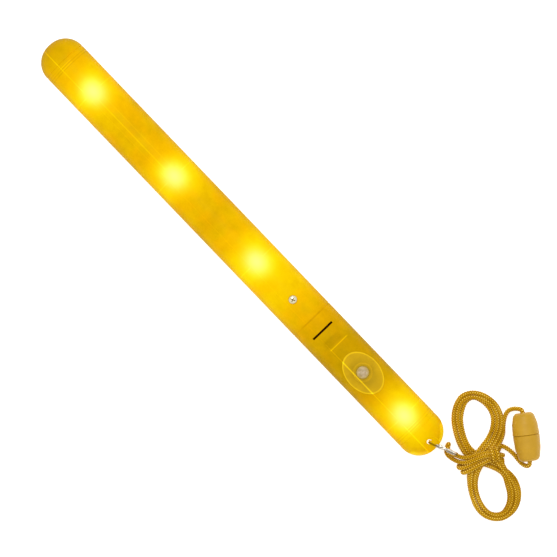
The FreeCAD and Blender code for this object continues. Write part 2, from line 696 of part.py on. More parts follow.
def split_ring():
    """Two flat turns of round wire joined by a short crossover, through the eye."""
    steps = int(round(2 * 360 / RING_POINT_STEP))
    points = []
    for i in range(1, steps):
        angle = i * RING_POINT_STEP
        share = min(max((angle - 360 + RING_CROSSOVER / 2) / RING_CROSSOVER, 0), 1)
        rise = RING_STEP * (share * share * (3 - 2 * share) - 0.5)
        turn = math.radians(angle)
        points.append(Vector(RING_R * math.cos(turn), RING_R * math.sin(turn), rise))
    shape = wire_coil(points, RING_WIRE_R)
    shape.rotate(Vector(0, 0, 0), ALONG, 90)
    shape.rotate(Vector(0, 0, 0), Vector(0, 1, 0), -90)
    shape.rotate(Vector(0, 0, 0), UP, RING_TURN)
    shape.translate(ring_centre())
    return shape


def fold_point():
    """Where the cord folds round the lowest wire of the ring, and the way the fold points."""
    turn = math.radians(RING_TURN)
    bearing = math.radians(FOLD_BEARING)
    centre = ring_centre()
    on_ring = Vector(centre.x + FOLD_ALONG * math.cos(turn), centre.y + FOLD_ALONG * math.sin(turn),
                     AXIS_Z - math.sqrt(RING_R ** 2 - FOLD_ALONG ** 2))
    return on_ring, Vector(math.cos(bearing), math.sin(bearing), 0)


def fold_corners():
    """Corner points of the half turn round the ring's wire, from the strand above it to the one below."""
    on_ring, out = fold_point()
    centre = on_ring + out
    reach = FOLD_R / math.cos(math.radians(FOLD_STEP / 2))
    points = [centre + UP * FOLD_R - out * FOLD_PAST]
    for number in range(int(180 / FOLD_STEP)):
        turn = math.radians(90 - FOLD_STEP * (number + 0.5))
        points.append(centre + out * (reach * math.cos(turn)) + UP * (reach * math.sin(turn)))
    points.append(centre - UP * FOLD_R - out * FOLD_PAST)
    return [(p.x, p.y, p.z) for p in points]


def cord_bight(hank):
    """The doubled cord that is hitched on the ring, both strands ending at the hank."""
    tube = round_tube("cord_bight", LEG_UPPER[::-1] + fold_corners() + LEG_LOWER, CORD_R)
    return max(tube.cut(hank).Solids, key=lambda solid: solid.Volume)


def closed_curve(points):
    curve = Part.BSplineCurve()
    curve.interpolate([Vector(x, y, 0) for x, y in points], True)
    return Part.Wire(curve.toShape())


def cord_hank():
    """The outer shape of the folded cord: a plate with two loops, with the tie and its knot."""
    plate = Part.Face(closed_curve(HANK_OUTER)).extrude(Vector(0, 0, HANK_HEIGHT))
    for hole in (UPPER_HOLE, LOWER_HOLE):
        plate = plate.cut(Part.Face(closed_curve(hole)).extrude(Vector(0, 0, HANK_HEIGHT)))
    left = Vector(TIE_LEFT[0], TIE_LEFT[1], 0)
    right = Vector(KNOT[0], KNOT[1], 0)
    run = right - left
    tie = Part.makeBox(run.Length, TIE_WIDTH, TIE_HEIGHT, Vector(0, -TIE_WIDTH / 2, 0))
    tie = tie.makeChamfer(TIE_EDGE, [e for e in tie.Edges if abs(e.tangentAt(e.FirstParameter).x) > 0.9])
    tie.rotate(Vector(0, 0, 0), UP, math.degrees(math.atan2(run.y, run.x)))
    tie.translate(left)
    knot = upright(KNOT[0], KNOT[1], 0, TIE_HEIGHT, KNOT_R)
    knot = knot.makeChamfer(TIE_EDGE, [e for e in knot.Edges if e.Closed])
    return one(plate.fuse(tie).fuse(knot))


def clasp_frame():
    """The clasp's axis: the socket's end, the way to the plug's end, and the length."""
    start = Vector(CLASP_SOCKET_END[0], CLASP_SOCKET_END[1], CLASP_Z)
    run = Vector(CLASP_PLUG_END[0], CLASP_PLUG_END[1], CLASP_Z) - start
    return start, run, run.Length


def clasp_half(outline):
    """Turn an (along, radius) outline about the clasp's axis."""
    start, run, _ = clasp_frame()
    wire_loop = Part.makePolygon([Vector(r, 0, s) for s, r in outline + outline[:1]])
    shape = Part.Face(wire_loop).revolve(Vector(0, 0, 0), UP, 360)
    shape.Placement = Placement(start, Rotation(UP, run))
    return shape


def clasp_end():
    """Outline of one half's outside, from its cord hole to its widest rib, measured from its end."""
    return [(CORD_HOLE_DEPTH, 0), (CORD_HOLE_DEPTH, CORD_HOLE_R), (0, CORD_HOLE_R), (0, CLASP_END_R),
            (CLASP_CORNER, CLASP_CORNER_R), (CLASP_SHOULDER, CLASP_SHOULDER_R)]


def clasp_socket():
    seam = clasp_frame()[2] * CLASP_SEAM_SHARE - CLASP_GAP / 2
    bore = CLASP_PLUG_R + CLASP_PLUG_GAP
    bottom = seam - CLASP_PLUG_LENGTH - CLASP_SOCKET_SPARE
    inside = [(CLASP_SOCKET_BULGE_AT, CLASP_R - CLASP_BULGE), (seam - CLASP_LIP, CLASP_R),
              (seam, CLASP_R - CLASP_LIP), (seam, bore), (bottom, bore), (bottom, 0)]
    return clasp_half(clasp_end() + inside)


def clasp_plug():
    length = clasp_frame()[2]
    seam = length * CLASP_SEAM_SHARE + CLASP_GAP / 2
    tip = seam - CLASP_PLUG_LENGTH
    inside = [(tip, 0), (tip, CLASP_PLUG_R - CLASP_PLUG_EDGE), (tip + CLASP_PLUG_EDGE, CLASP_PLUG_R),
              (seam, CLASP_PLUG_R), (seam, CLASP_R - CLASP_LIP), (seam + CLASP_LIP, CLASP_R),
              (length - CLASP_PLUG_BULGE_AT, CLASP_R - CLASP_BULGE)]
    return clasp_half(inside + [(length - along, radius) for along, radius in clasp_end()[::-1]])


def tail_into_clasp(route, end, outward):
    """Finish a tail's route straight into the cord hole of one clasp half."""
    start, run, length = clasp_frame()
    face = start + run * end
    way = run * (outward / length)
    mouth = face + way * TAIL_LEAD
    inside = face - way * TAIL_INSERT
    return route + [(mouth.x, mouth.y, mouth.z), (inside.x, inside.y, inside.z)]


# ---------------------------------------------------------------- build
def save_body():
    save("shell_tube", shell_tube())
    save("cap_free_end", cap_free_end())
    save("cap_lanyard_end", cap_lanyard_end())
    save("o_ring_free_end", o_ring(FREE_SEAM, -1))
    save("o_ring_lanyard_end", o_ring(LANYARD_SEAM, 1))
    save("button_membrane", button_membrane())
    save("button", button())
    save("body_screw", body_screw())


def save_electrics():
    save("light_board", board(LIGHT_BOARD))
    save("switch_board", board(SWITCH_BOARD))
    front = (LIGHT_BOARD[0] - FRAME_PAST_LIGHT_BOARD, TRAY[0] - FRAME_GAP)
    rear = (TRAY[1] + FRAME_GAP, SWITCH_BOARD[1] + FRAME_PAST_SWITCH_BOARD)
    free_spigot = (FREE_SEAM, FREE_SEAM + SPIGOT_LENGTH + MARGIN)
    lanyard_spigot = (LANYARD_SEAM - SPIGOT_LENGTH - MARGIN, LANYARD_SEAM)
    save("light_frame_front", light_frame(front, FRONT_RIBS, free_spigot))
    save("light_frame_rear", light_frame(rear, REAR_RIBS, lanyard_spigot))
    for number, x in enumerate(LIGHT_X, 1):
        save("led_upper_%d" % number, led(x, 1))
        save("led_lower_%d" % number, led(x, -1))
    save("tact_switch", tact_switch())
    save("tact_actuator", tact_actuator())
    save("driver_chip", driver_chip())
    for end, (x, y) in RESISTOR_PLACES.items():
        save("resistor_" + end, resistor(x, y))


def save_power():
    first = TRAY[0] + TRAY_WALL
    last = TRAY[1] - TRAY_WALL - PLATE
    wide = PLATE_SLOT_Y
    save("battery_tray", battery_tray())
    save("battery_left", cell(1, -1))
    save("battery_right", cell(-1, 1))
    save("contact_bridge", contact_plate(first, -wide, wide))
    save("contact_positive", contact_plate(last, -wide, -PLATES_APART))
    save("contact_negative", contact_plate(last, PLATES_APART, wide))
    save("spring_left", contact_spring(1, first + PLATE + NUB + CELL_LENGTH, last))
    save("spring_right", contact_spring(-1, first + PLATE, last - NUB - CELL_LENGTH))
    save("wire_positive", wire("wire_positive", -1))
    save("wire_negative", wire("wire_negative", 1))


def save_lanyard():
    hank = cord_hank()
    save("split_ring", split_ring())
    save("cord_hank", hank)
    save("cord_bight", cord_bight(hank))
    upper = round_tube("cord_tail_upper", tail_into_clasp(TAIL_UPPER, 0, -1), CORD_R)
    save("cord_tail_upper", upper.cut(hank))
    lower = round_tube("cord_tail_lower", tail_into_clasp(TAIL_LOWER, 1, 1), CORD_R).cut(hank)
    save("cord_tail_lower", max(lower.Solids, key=lambda solid: solid.Volume))
    save("clasp_socket", clasp_socket())
    save("clasp_plug", clasp_plug())


os.makedirs("parts", exist_ok=True)
save_body()
save_electrics()
save_power()
save_lanyard()
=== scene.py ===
import math

import bpy
import numpy as np
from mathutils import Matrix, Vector


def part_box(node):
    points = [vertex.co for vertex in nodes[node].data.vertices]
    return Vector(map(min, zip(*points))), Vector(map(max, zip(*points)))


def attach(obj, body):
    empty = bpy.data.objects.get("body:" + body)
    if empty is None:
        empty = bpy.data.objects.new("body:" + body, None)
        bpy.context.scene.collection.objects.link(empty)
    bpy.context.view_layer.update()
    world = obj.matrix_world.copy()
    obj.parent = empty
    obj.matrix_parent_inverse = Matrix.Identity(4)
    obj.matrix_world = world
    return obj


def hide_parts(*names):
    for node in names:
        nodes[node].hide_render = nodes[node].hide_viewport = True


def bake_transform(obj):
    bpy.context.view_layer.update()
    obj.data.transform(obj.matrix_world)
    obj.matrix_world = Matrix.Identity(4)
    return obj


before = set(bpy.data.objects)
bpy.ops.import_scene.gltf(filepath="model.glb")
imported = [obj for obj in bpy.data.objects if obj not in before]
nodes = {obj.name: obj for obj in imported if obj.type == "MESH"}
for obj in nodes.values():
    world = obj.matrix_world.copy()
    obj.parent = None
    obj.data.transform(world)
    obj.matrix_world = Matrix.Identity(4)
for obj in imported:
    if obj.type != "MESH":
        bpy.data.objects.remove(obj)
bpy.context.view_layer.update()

MM = 0.001


# ---------------------------------------------------------------- places taken from the frame
def middle(node):
    low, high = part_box(node)
    return (low + high) / 2


TUBE_LOW, TUBE_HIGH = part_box("shell_tube")
AXIS_Z = middle("cap_free_end").z
LAMPS = [middle("led_upper_%d" % i) for i in (1, 2, 3, 4)]
BUTTON = middle("button")
MEMBRANE = middle("button_membrane")


# ---------------------------------------------------------------- camera, floor and light
VIEW_WIDTH = 0.3249
VIEW_CENTRE = (0.0279, 0.0025)
VIEW_TURN = math.radians(46.18)
LENS = 200.0
SENSOR = 36.0
FAR_CLIP = 20.0
SKY_LOW = 0.45
SKY_FULL_HEIGHT = 0.75
SKY_STRENGTH = 1.0
KEY_PLACE = (-0.25, 0.20, 1.2)
KEY_AIM = (0.03, 0, 0)
KEY_SIZE = 0.7
KEY_POWER = 5.0
FLOOR_SIDE = 3.0
FLOOR_DROP = 0.0002


def add_camera():
    data = bpy.data.cameras.new("camera")
    data.lens = LENS
    data.sensor_width = SENSOR
    data.clip_end = FAR_CLIP
    camera = bpy.data.objects.new("camera", data)
    bpy.context.scene.collection.objects.link(camera)
    camera.location = (VIEW_CENTRE[0], VIEW_CENTRE[1], AXIS_Z + VIEW_WIDTH * LENS / SENSOR)
    camera.rotation_euler = (0, 0, VIEW_TURN)
    bpy.context.scene.camera = camera


def add_key_light():
    data = bpy.data.lights.new("key", "AREA")
    data.shape = "DISK"
    data.size = KEY_SIZE
    data.energy = KEY_POWER
    lamp = bpy.data.objects.new("key", data)
    bpy.context.scene.collection.objects.link(lamp)
    lamp.location = KEY_PLACE
    lamp.rotation_euler = (Vector(KEY_PLACE) - Vector(KEY_AIM)).to_track_quat("Z", "Y").to_euler()


def add_world():
    """A grey sky at the horizon that is white overhead."""
    world = bpy.data.worlds.new("studio")
    bpy.context.scene.world = world
    world.use_nodes = True
    background = world.node_tree.nodes["Background"]
    tree = world.node_tree
    sky = tree.nodes.new("ShaderNodeTexCoord")
    height = tree.nodes.new("ShaderNodeSeparateXYZ")
    tree.links.new(sky.outputs["Generated"], height.inputs[0])
    shade = tree.nodes.new("ShaderNodeValToRGB")
    tree.links.new(height.outputs["Z"], shade.inputs["Fac"])
    shade.color_ramp.elements[0].position = 0.0
    shade.color_ramp.elements[0].color = (*[SKY_LOW] * 3, 1)
    shade.color_ramp.elements[1].position = SKY_FULL_HEIGHT
    shade.color_ramp.elements[1].color = (1, 1, 1, 1)
    tree.links.new(shade.outputs["Color"], background.inputs["Color"])
    background.inputs["Strength"].default_value = SKY_STRENGTH


def add_floor(material):
    mesh = bpy.data.meshes.new("floor")
    corners = [(x * FLOOR_SIDE, y * FLOOR_SIDE, 0) for x, y in ((-1, -1), (1, -1), (1, 1), (-1, 1))]
    mesh.from_pydata(corners, [], [(0, 1, 2, 3)])
    floor = bpy.data.objects.new("floor", mesh)
    bpy.context.scene.collection.objects.link(floor)
    floor.location.z = -FLOOR_DROP
    mesh.materials.append(material)


# ---------------------------------------------------------------- light in the tube, in metres
FLOOR_GLOW = 0.55
AMBER_STRENGTH = 1.0
LAMP_SOURCE = 0.008
LAMP_NEAR = 0.006
LAMP_REACH = 0.0102
LAMP_NARROW = 1.18
LAMP_FALL = 1.6
CORE_LONG = 0.0058
CORE_WIDE = 0.0048
# Brightness of each stretch: place along the baton in millimetres, level
STRETCHES = [(-163, 0.31), (-146, 0.47), (-90, 0.45), (-20, 0.44), (26, 0.56), (42, 0.54),
             (66, 0.37), (82, 0.29), (108, 0.28), (122, 0.42), (150, 0.48), (163, 0.42)]
# Colour that shines through the amber at each brightness
AMBER_GLOW = [(0.20, (0.0, 0.0, 0.0)), (0.40, (0.25, 0.14, 0.0)), (0.50, (0.39, 0.245, 0.0)),
              (0.60, (0.50, 0.36, 0.0)), (0.72, (0.55, 0.48, 0.0)), (0.86, (0.57, 0.62, 0.003)),
              (1.0, (0.58, 0.76, 0.03))]
CORE_COLOUR = (0.62, 0.80, 0.24, 1)

# ---------------------------------------------------------------- marks on the object, painted highlights and painted shade, in metres
MOULD_LINE_TURN = math.radians(18)
THREAD_PITCH = 0.0015
RING_TURN = math.radians(21.7)
TRACK_PITCH = 0.0032
PAD_PITCH = 0.009
CELL_BAND_AT = 0.030
CELL_SLEEVE_HALF = 0.0205
BOARD_ZONE_HALF = 0.022
RESISTOR_BAND_PITCH = 0.0013
OVAL_LONG = 0.0143
OVAL_SHORT = 0.01025
# Bands: middle, half width, soft edge
# The next band is a painted highlight along the mould line
MOULD_LINE_HIGHLIGHT = (0.0, 0.00018, 0.0002)
PLAIN_STRETCH = (-0.024, 0.098, 0.006)
THREADED_STRETCH = (0.0034, 0.0014, 0.0006)
THREAD_GLINTS = (-0.0005, 0.0032, 0.0012)
BOARD_LINE_FAINT = (0.0027, 0.00012, 0.0003)
BOARD_LINE_BRIGHT = (-0.0011, 0.00018, 0.0003)
GROOVE_ALONG, GROOVE_ACROSS = (0.0583, 0.00025, 0.0004), (0.0005, 0.0050, 0.0035)
PATCH_ALONG, PATCH_ACROSS = (0.0755, 0.0012, 0.0020), (0.0005, 0.0035, 0.0040)
STEP_ALONG, STEP_ACROSS = (0.0791, 0.00018, 0.0003), (0.0018, 0.0056, 0.0020)
# Where the painted shade under the slot lies along the tray
SLOT_ALONG = (0.0674, 0.0022, 0.0002)
# Painted highlight on the membrane's raised rim
OVAL_RIM = (0.955, 0.018, 0.030)
BUTTON_COLLAR = (0.0054, 0.0002, 0.0004)
# Painted highlight line along the mould line over the window
WINDOW_HIGHLIGHT_LINE = (-0.0043, 0.00022, 0.0003)
# Fades: where one begins and where it ends
# Painted shade at the ends of the domes
DOME_END_SHADE = (0.156, 0.163)
SCOOP_ALONG = (0.1530, 0.1550)
SCREW_CROSS = (0.0014, 0.0018)
SCREW_RECESS = (-0.0007, -0.0003)


# ---------------------------------------------------------------- node helpers
class Shader:
    """A small builder for node materials."""

    def __init__(self, name):
        self.material = bpy.data.materials.new(name)
        self.material.use_nodes = True
        self.tree = self.material.node_tree
        self.bsdf = self.tree.nodes["Principled BSDF"]
        self.place = self.new("ShaderNodeTexCoord").outputs["Object"]

    def new(self, kind, **settings):
        node = self.tree.nodes.new(kind)
        for key, value in settings.items():
            setattr(node, key, value)
        return node

    def put(self, value, socket):
        """Link a node's output to a socket, or set a plain value on it."""
        if isinstance(value, bpy.types.NodeSocket):
            self.tree.links.new(value, socket)
        else:
            socket.default_value = value

    def math(self, operation, *values, clamp=False):
        node = self.new("ShaderNodeMath", operation=operation, use_clamp=clamp)
        for value, socket in zip(values, node.inputs):
            self.put(value, socket)
        return node.outputs[0]

    def vector(self, operation, a, b):
        node = self.new("ShaderNodeVectorMath", operation=operation)
        self.put(a, node.inputs[0])
        self.put(b, node.inputs[1])
        return node.outputs["Value"] if operation in ("DISTANCE", "DOT_PRODUCT") else node.outputs[0]

    def split(self, vector):
        """The x, y and z of a vector."""
        node = self.new("ShaderNodeSeparateXYZ")
        self.put(vector, node.inputs[0])
        return node.outputs

    def join(self, x, y, z):
        node = self.new("ShaderNodeCombineXYZ")
        for value, socket in zip((x, y, z), node.inputs):
            self.put(value, socket)
        return node.outputs[0]

    def mix(self, share, a, b, blend="MIX"):
        node = self.new("ShaderNodeMix", data_type="RGBA", blend_type=blend)
        self.put(share, node.inputs["Factor"])
        self.put(a, node.inputs["A"])
        self.put(b, node.inputs["B"])
        return node.outputs["Result"]

    def ramp(self, value, stops):
        node = self.new("ShaderNodeValToRGB")
        self.put(value, node.inputs["Fac"])
        ramp = node.color_ramp
        while len(ramp.elements) < len(stops):
            ramp.elements.new(0.5)
        for element, (place, colour) in zip(ramp.elements, stops):
            element.position = place
            element.color = (*colour, 1)
        return node.outputs["Color"]

    def times(self, *values):
        """The product of all the values."""
        total = values[0]
        for value in values[1:]:
            total = self.math("MULTIPLY", total, value)
        return total

    def plus(self, *values):
        """The sum of all the values."""
        total = values[0]
        for value in values[1:]:
            total = self.math("ADD", total, value)
        return total

    def strongest(self, values):
        """The largest of all the values."""
        total = values[0]
        for value in values[1:]:
            total = self.math("MAXIMUM", total, value)
        return total

    def noise(self, scale, detail=3.0, vector=None):
        node = self.new("ShaderNodeTexNoise")
        self.put(self.place if vector is None else vector, node.inputs["Vector"])
        node.inputs["Scale"].default_value = scale
        node.inputs["Detail"].default_value = detail
        return node.outputs["Fac"]

    def uneven(self, scale, detail, amount):
        """Noise about zero."""
        return self.times(self.math("SUBTRACT", self.noise(scale, detail), 0.5), amount)

    def band(self, value, centre, half, soft):
        """1 where value is within half of centre, fading over soft."""
        off = self.math("ABSOLUTE", self.math("SUBTRACT", value, centre))
        return self.fade(off, half, half + soft, 1.0, 0.0)

    def fade(self, value, low, high, start=0.0, end=1.0):
        """From start where value is low, to end where it is high."""
        node = self.new("ShaderNodeMapRange", interpolation_type="SMOOTHSTEP")
        self.put(value, node.inputs["Value"])
        node.inputs["From Min"].default_value = low
        node.inputs["From Max"].default_value = high
        node.inputs["To Min"].default_value = start
        node.inputs["To Max"].default_value = end
        return node.outputs[0]

    def bump(self, height, strength, distance):
        node = self.new("ShaderNodeBump")
        node.inputs["Strength"].default_value = strength
        node.inputs["Distance"].default_value = distance
        self.put(height, node.inputs["Height"])
        self.put(node.outputs[0], self.bsdf.inputs["Normal"])

    def set(self, **values):
        """Put values or node outputs into the shader's own sockets."""
        names = {"colour": "Base Color", "roughness": "Roughness", "metallic": "Metallic",
                 "coat": "Coat Weight", "emission": "Emission Color", "glow": "Emission Strength",
                 "sheen": "Sheen Weight", "sheen_roughness": "Sheen Roughness",
                 "subsurface": "Subsurface Weight", "subsurface_scale": "Subsurface Scale",
                 "subsurface_radius": "Subsurface Radius", "specular": "Specular IOR Level"}
        for key, value in values.items():
            if isinstance(value, tuple) and len(value) == 3 and key != "subsurface_radius":
                value = (*value, 1)
            self.put(value, self.bsdf.inputs[names[key]])
        return self.material


# ---------------------------------------------------------------- floor
def floor_material():
    shader = Shader("floor")
    shade = shader.mix(shader.noise(60.0, 2.0), (0.90, 0.90, 0.90, 1), (0.93, 0.93, 0.93, 1))
    return shader.set(colour=shade, roughness=0.9, specular=0.1, emission=(1.0, 1.0, 1.0), glow=FLOOR_GLOW)


# ---------------------------------------------------------------- light coming through the amber
def baton_place(shader):
    """Where a point is along and across the baton, and how high above its axis."""
    x, y, z = shader.split(shader.place)
    return x, y, shader.math("SUBTRACT", z, AXIS_Z)


def on_top(shader, height, soft):
    """1 on the upper side of the baton, 0 on the lower side."""
    return shader.fade(height, 0.0, soft)


def from_centre(shader, x, y, centre):
    """Distance from a centre, as seen from above."""
    return shader.vector("DISTANCE", shader.join(x, y, 0.0), (centre.x, centre.y, 0.0))


def ellipse(shader, x, y, centre_x, long_half, short_half):
    """Square of how far out a place is in an ellipse, as seen from above: 1 on its rim."""
    along = shader.times(shader.math("SUBTRACT", x, centre_x), 1 / long_half)
    across = shader.times(y, 1 / short_half)
    return shader.plus(shader.times(along, along), shader.times(across, across))


def lamp_light(shader, x, y, height):
    """Light in the wall: 1 right over or under a lamp, near 0 far from all of them."""
    folded = shader.join(x, shader.times(y, LAMP_NARROW), shader.math("ABSOLUTE", height))
    shares = []
    for lamp in LAMPS:
        away = shader.vector("DISTANCE", folded, (lamp.x, 0.0, LAMP_SOURCE))
        spare = shader.math("SUBTRACT", shader.times(away, away), LAMP_NEAR ** 2)
        reach = shader.times(shader.math("MAXIMUM", spare, 0.0), 1 / LAMP_REACH ** 2)
        fall = shader.math("POWER", reach, LAMP_FALL)
        shares.append(shader.math("DIVIDE", 1.0, shader.plus(fall, 1.0)))
    return shader.strongest(shares)


def lamp_core(shader, x, y):
    """The small, nearly white spot over each lamp."""
    shares = []
    for lamp in LAMPS:
        square = ellipse(shader, x, y, lamp.x, CORE_LONG, CORE_WIDE)
        shares.append(shader.math("POWER", math.e, shader.times(square, -1.0)))
    return shader.strongest(shares)


def stretch_light(shader, x):
    """The light that each stretch of the baton holds, with the least over the cells and round the button."""
    low, high = STRETCHES[0][0], STRETCHES[-1][0]
    share = shader.math("MULTIPLY", shader.math("SUBTRACT", x, low * MM), 1 / ((high - low) * MM), clamp=True)
    stops = [((place - low) / (high - low), (level, level, level)) for place, level in STRETCHES]
    return shader.ramp(share, stops)


def amber_light(shader, marks):
    """Brightness of the lit amber at each place, with fine marks: some the object's own, some painted
    highlight and painted shade.
    """
    x, y, height = baton_place(shader)
    base = stretch_light(shader, x)
    lamps = shader.times(lamp_light(shader, x, y, height), shader.math("SUBTRACT", 1.0, base))
    # Painted shade: the wall's light is weaker at mid-height on the sides
    side_shade = shader.fade(shader.math("ABSOLUTE", height), 0.0005, 0.0090, -0.17, 0.0)
    light = shader.plus(base, lamps, shader.uneven(150.0, 3.0, 0.22), shader.uneven(520.0, 2.0, 0.05),
                        side_shade, *[mark(shader, x, y, height) for mark in marks])
    return light, lamp_core(shader, x, y)


def amber_material(name, marks):
    """The amber's colours: the unlit plastic plus what shines through it."""
    shader = Shader(name)
    light, core = amber_light(shader, marks)
    hue = shader.noise(75.0, 2.0)
    glow = shader.ramp(light, AMBER_GLOW)
    orange = shader.mix(1.0, glow, (1.0, 0.80, 1.0, 1), "MULTIPLY")
    warm = shader.mix(shader.fade(hue, 0.40, 0.62), glow, orange)
    lit = shader.mix(core, warm, CORE_COLOUR)
    unlit = shader.mix(hue, (0.40, 0.240, 0.0, 1), (0.45, 0.240, 0.0, 1))
    scratches = shader.times(shader.noise(1800.0, 2.0), 0.3)
    shader.bump(shader.plus(scratches, shader.noise(240.0, 3.0)), 0.12, 0.0003)
    rough = shader.fade(shader.noise(300.0, 3.0), 0.3, 0.7, 0.30, 0.42)
    return shader.set(colour=unlit, roughness=rough, specular=0.01, emission=lit, glow=AMBER_STRENGTH)


def mould_line_highlight(shader, x, y, height):
    """A painted highlight along the mould line on the tube, a little lighter than the wall."""
    # Painted highlight: a light line along the mould line, fainter on the plain stretch
    turned = shader.plus(shader.times(y, math.cos(MOULD_LINE_TURN)),
                         shader.times(height, math.sin(MOULD_LINE_TURN)))
    clear = shader.math("SUBTRACT", 0.13, shader.times(shader.band(x, *PLAIN_STRETCH), 0.09))
    return shader.times(shader.band(turned, *MOULD_LINE_HIGHLIGHT), on_top(shader, height, 0.002), clear)


def thread_marks(shader, x, y, height):
    """The screw threads, seen through the wall as fine dark turns with a few glints between them."""
    turn = shader.times(shader.math("ARCTAN2", y, height), THREAD_PITCH / (2 * math.pi))
    phase = shader.math("FRACT", shader.times(shader.plus(x, turn), 1 / THREAD_PITCH))
    dark = shader.band(phase, 0.5, 0.10, 0.16)
    gaps = shader.band(shader.math("FRACT", shader.plus(phase, 0.5)), 0.5, 0.06, 0.16)
    glints = shader.times(gaps, shader.band(y, *THREAD_GLINTS), on_top(shader, height, 0.003), 1.6)
    ends = []
    for seam, way in ((TUBE_LOW.x, 1), (TUBE_HIGH.x, -1)):
        inside = shader.times(shader.math("SUBTRACT", x, seam), way)
        ends.append(shader.band(inside, *THREADED_STRETCH))
    return shader.times(shader.plus(*ends), shader.math("SUBTRACT", dark, glints), -0.07)


def lamp_lines(shader, x, y, height):
    """A faint light line round the wall at each lamp, from the lamp's own edge."""
    return shader.times(shader.strongest([shader.band(x, lamp.x, 0.0002, 0.0003) for lamp in LAMPS]), 0.08)


def board_lines(shader, x, y, height):
    """Faint lines along the wall over the board's edges and the rails, between the first lamps."""
    zone = shader.band(x, (LAMPS[0].x + LAMPS[1].x) / 2, BOARD_ZONE_HALF, 0.010)
    bright = shader.times(shader.band(y, *BOARD_LINE_BRIGHT), 2.0)
    lines = shader.plus(shader.band(y, *BOARD_LINE_FAINT), bright)
    return shader.times(zone, lines, on_top(shader, height, 0.003), 0.05)


def step_marks(shader, x, y, height):
    """The light line and the dark patch before the window, and the dark groove round the tube."""
    step = shader.times(shader.band(x, *STEP_ALONG), shader.band(y, *STEP_ACROSS), 0.22)
    patch = shader.times(shader.band(x, *PATCH_ALONG), shader.band(y, *PATCH_ACROSS))
    groove = shader.times(shader.band(x, *GROOVE_ALONG), shader.band(y, *GROOVE_ACROSS))
    dark = shader.times(shader.strongest([patch, groove]), 0.08)
    return shader.times(shader.math("SUBTRACT", step, dark), on_top(shader, height, 0.003))


def dome_line_highlight(shader, x, y, height):
    """A painted highlight along the mould line, which runs straight on over the domes."""
    line = shader.band(y, -AXIS_Z * math.sin(MOULD_LINE_TURN), 0.00018, 0.0003)
    return shader.times(line, on_top(shader, height, 0.002), 0.16)


def dome_end_shade(shader, x, y, height):
    """Painted shade: the lamps' light is a little weaker at the ends of the domes."""
    return shader.times(shader.fade(shader.math("ABSOLUTE", x), *DOME_END_SHADE), -0.06)


def bright_scoop(shader, x, y, height):
    """The scoop round the lanyard's eye catches light."""
    inner = shader.fade(shader.math("ABSOLUTE", height), 0.006, 0.009, 1.0, 0.0)
    return shader.times(shader.fade(x, *SCOOP_ALONG), inner, 0.24)


SHELL_MARKS = (mould_line_highlight, thread_marks, lamp_lines, board_lines, step_marks)
CAP_MARKS = (dome_line_highlight, dome_end_shade, bright_scoop)


def membrane_material():
    """Dull amber skin with a painted highlight on its raised rim, a light collar and a painted highlight line
    along the mould line over it.
    """
    shader = Shader("membrane")
    x, y, _ = baton_place(shader)
    out = shader.math("SQRT", ellipse(shader, x, y, MEMBRANE.x, OVAL_LONG, OVAL_SHORT))
    # Painted highlights: on the raised rim and in a line along the mould line
    rim_highlight = shader.band(out, *OVAL_RIM)
    collar = shader.band(from_centre(shader, x, y, BUTTON), *BUTTON_COLLAR)
    line = shader.band(y, *WINDOW_HIGHLIGHT_LINE)
    light = shader.plus(shader.fade(out, 0.35, 0.95, 0.24, 0.36), shader.uneven(180.0, 3.0, 0.16),
                        shader.times(rim_highlight, 0.18), shader.times(collar, 0.10), shader.times(line, 0.30))
    glow = shader.ramp(light, AMBER_GLOW)
    unlit = shader.mix(shader.noise(260.0, 3.0), (0.35, 0.215, 0.004, 1), (0.43, 0.26, 0.008, 1))
    shader.bump(shader.noise(900.0, 3.0), 0.2, 0.0002)
    return shader.set(colour=unlit, roughness=0.48, specular=0.03, emission=glow, glow=AMBER_STRENGTH)


def button_material():
    """Pale, cloudy, translucent plastic over the switch, its pale mottle partly painted highlight."""
    shader = Shader("button")
    x, y, _ = baton_place(shader)
    cloud_and_highlights = shader.noise(420.0, 3.0)
    # The pale mottle is cloudy plastic and, in part, painted highlight
    pale = shader.mix(shader.fade(cloud_and_highlights, 0.35, 0.65), (0.33, 0.225, 0.08, 1), (0.56, 0.43, 0.27, 1))
    edge = shader.fade(from_centre(shader, x, y, BUTTON), 0.0018, 0.0037)
    colour = shader.mix(edge, pale, (0.42, 0.28, 0.035, 1))
    shader.bump(shader.noise(1500.0, 2.0), 0.1, 0.0001)
    return shader.set(colour=colour, roughness=0.34, specular=0.5, subsurface=0.25, subsurface_scale=0.001,
                      subsurface_radius=(1.0, 0.6, 0.3), coat=0.15)


# ---------------------------------------------------------------- metals and dark pieces
def metal_material(name, colour, rough):
    """Plated metal with fine drawing marks and a little tarnish."""
    shader = Shader(name)
    fine = shader.noise(900.0, 4.0, shader.vector("MULTIPLY", shader.place, (1.0, 6.0, 6.0)))
    tarnish = shader.times(shader.fade(shader.noise(300.0, 3.0), 0.45, 0.75), 0.5)
    shade = shader.mix(tarnish, (*colour, 1), (*(c * 0.62 for c in colour), 1))
    shader.bump(fine, 0.12, 0.00005)
    return shader.set(colour=shade, metallic=1.0,
                      roughness=shader.fade(fine, 0.2, 0.8, rough * 0.7, rough * 1.4))


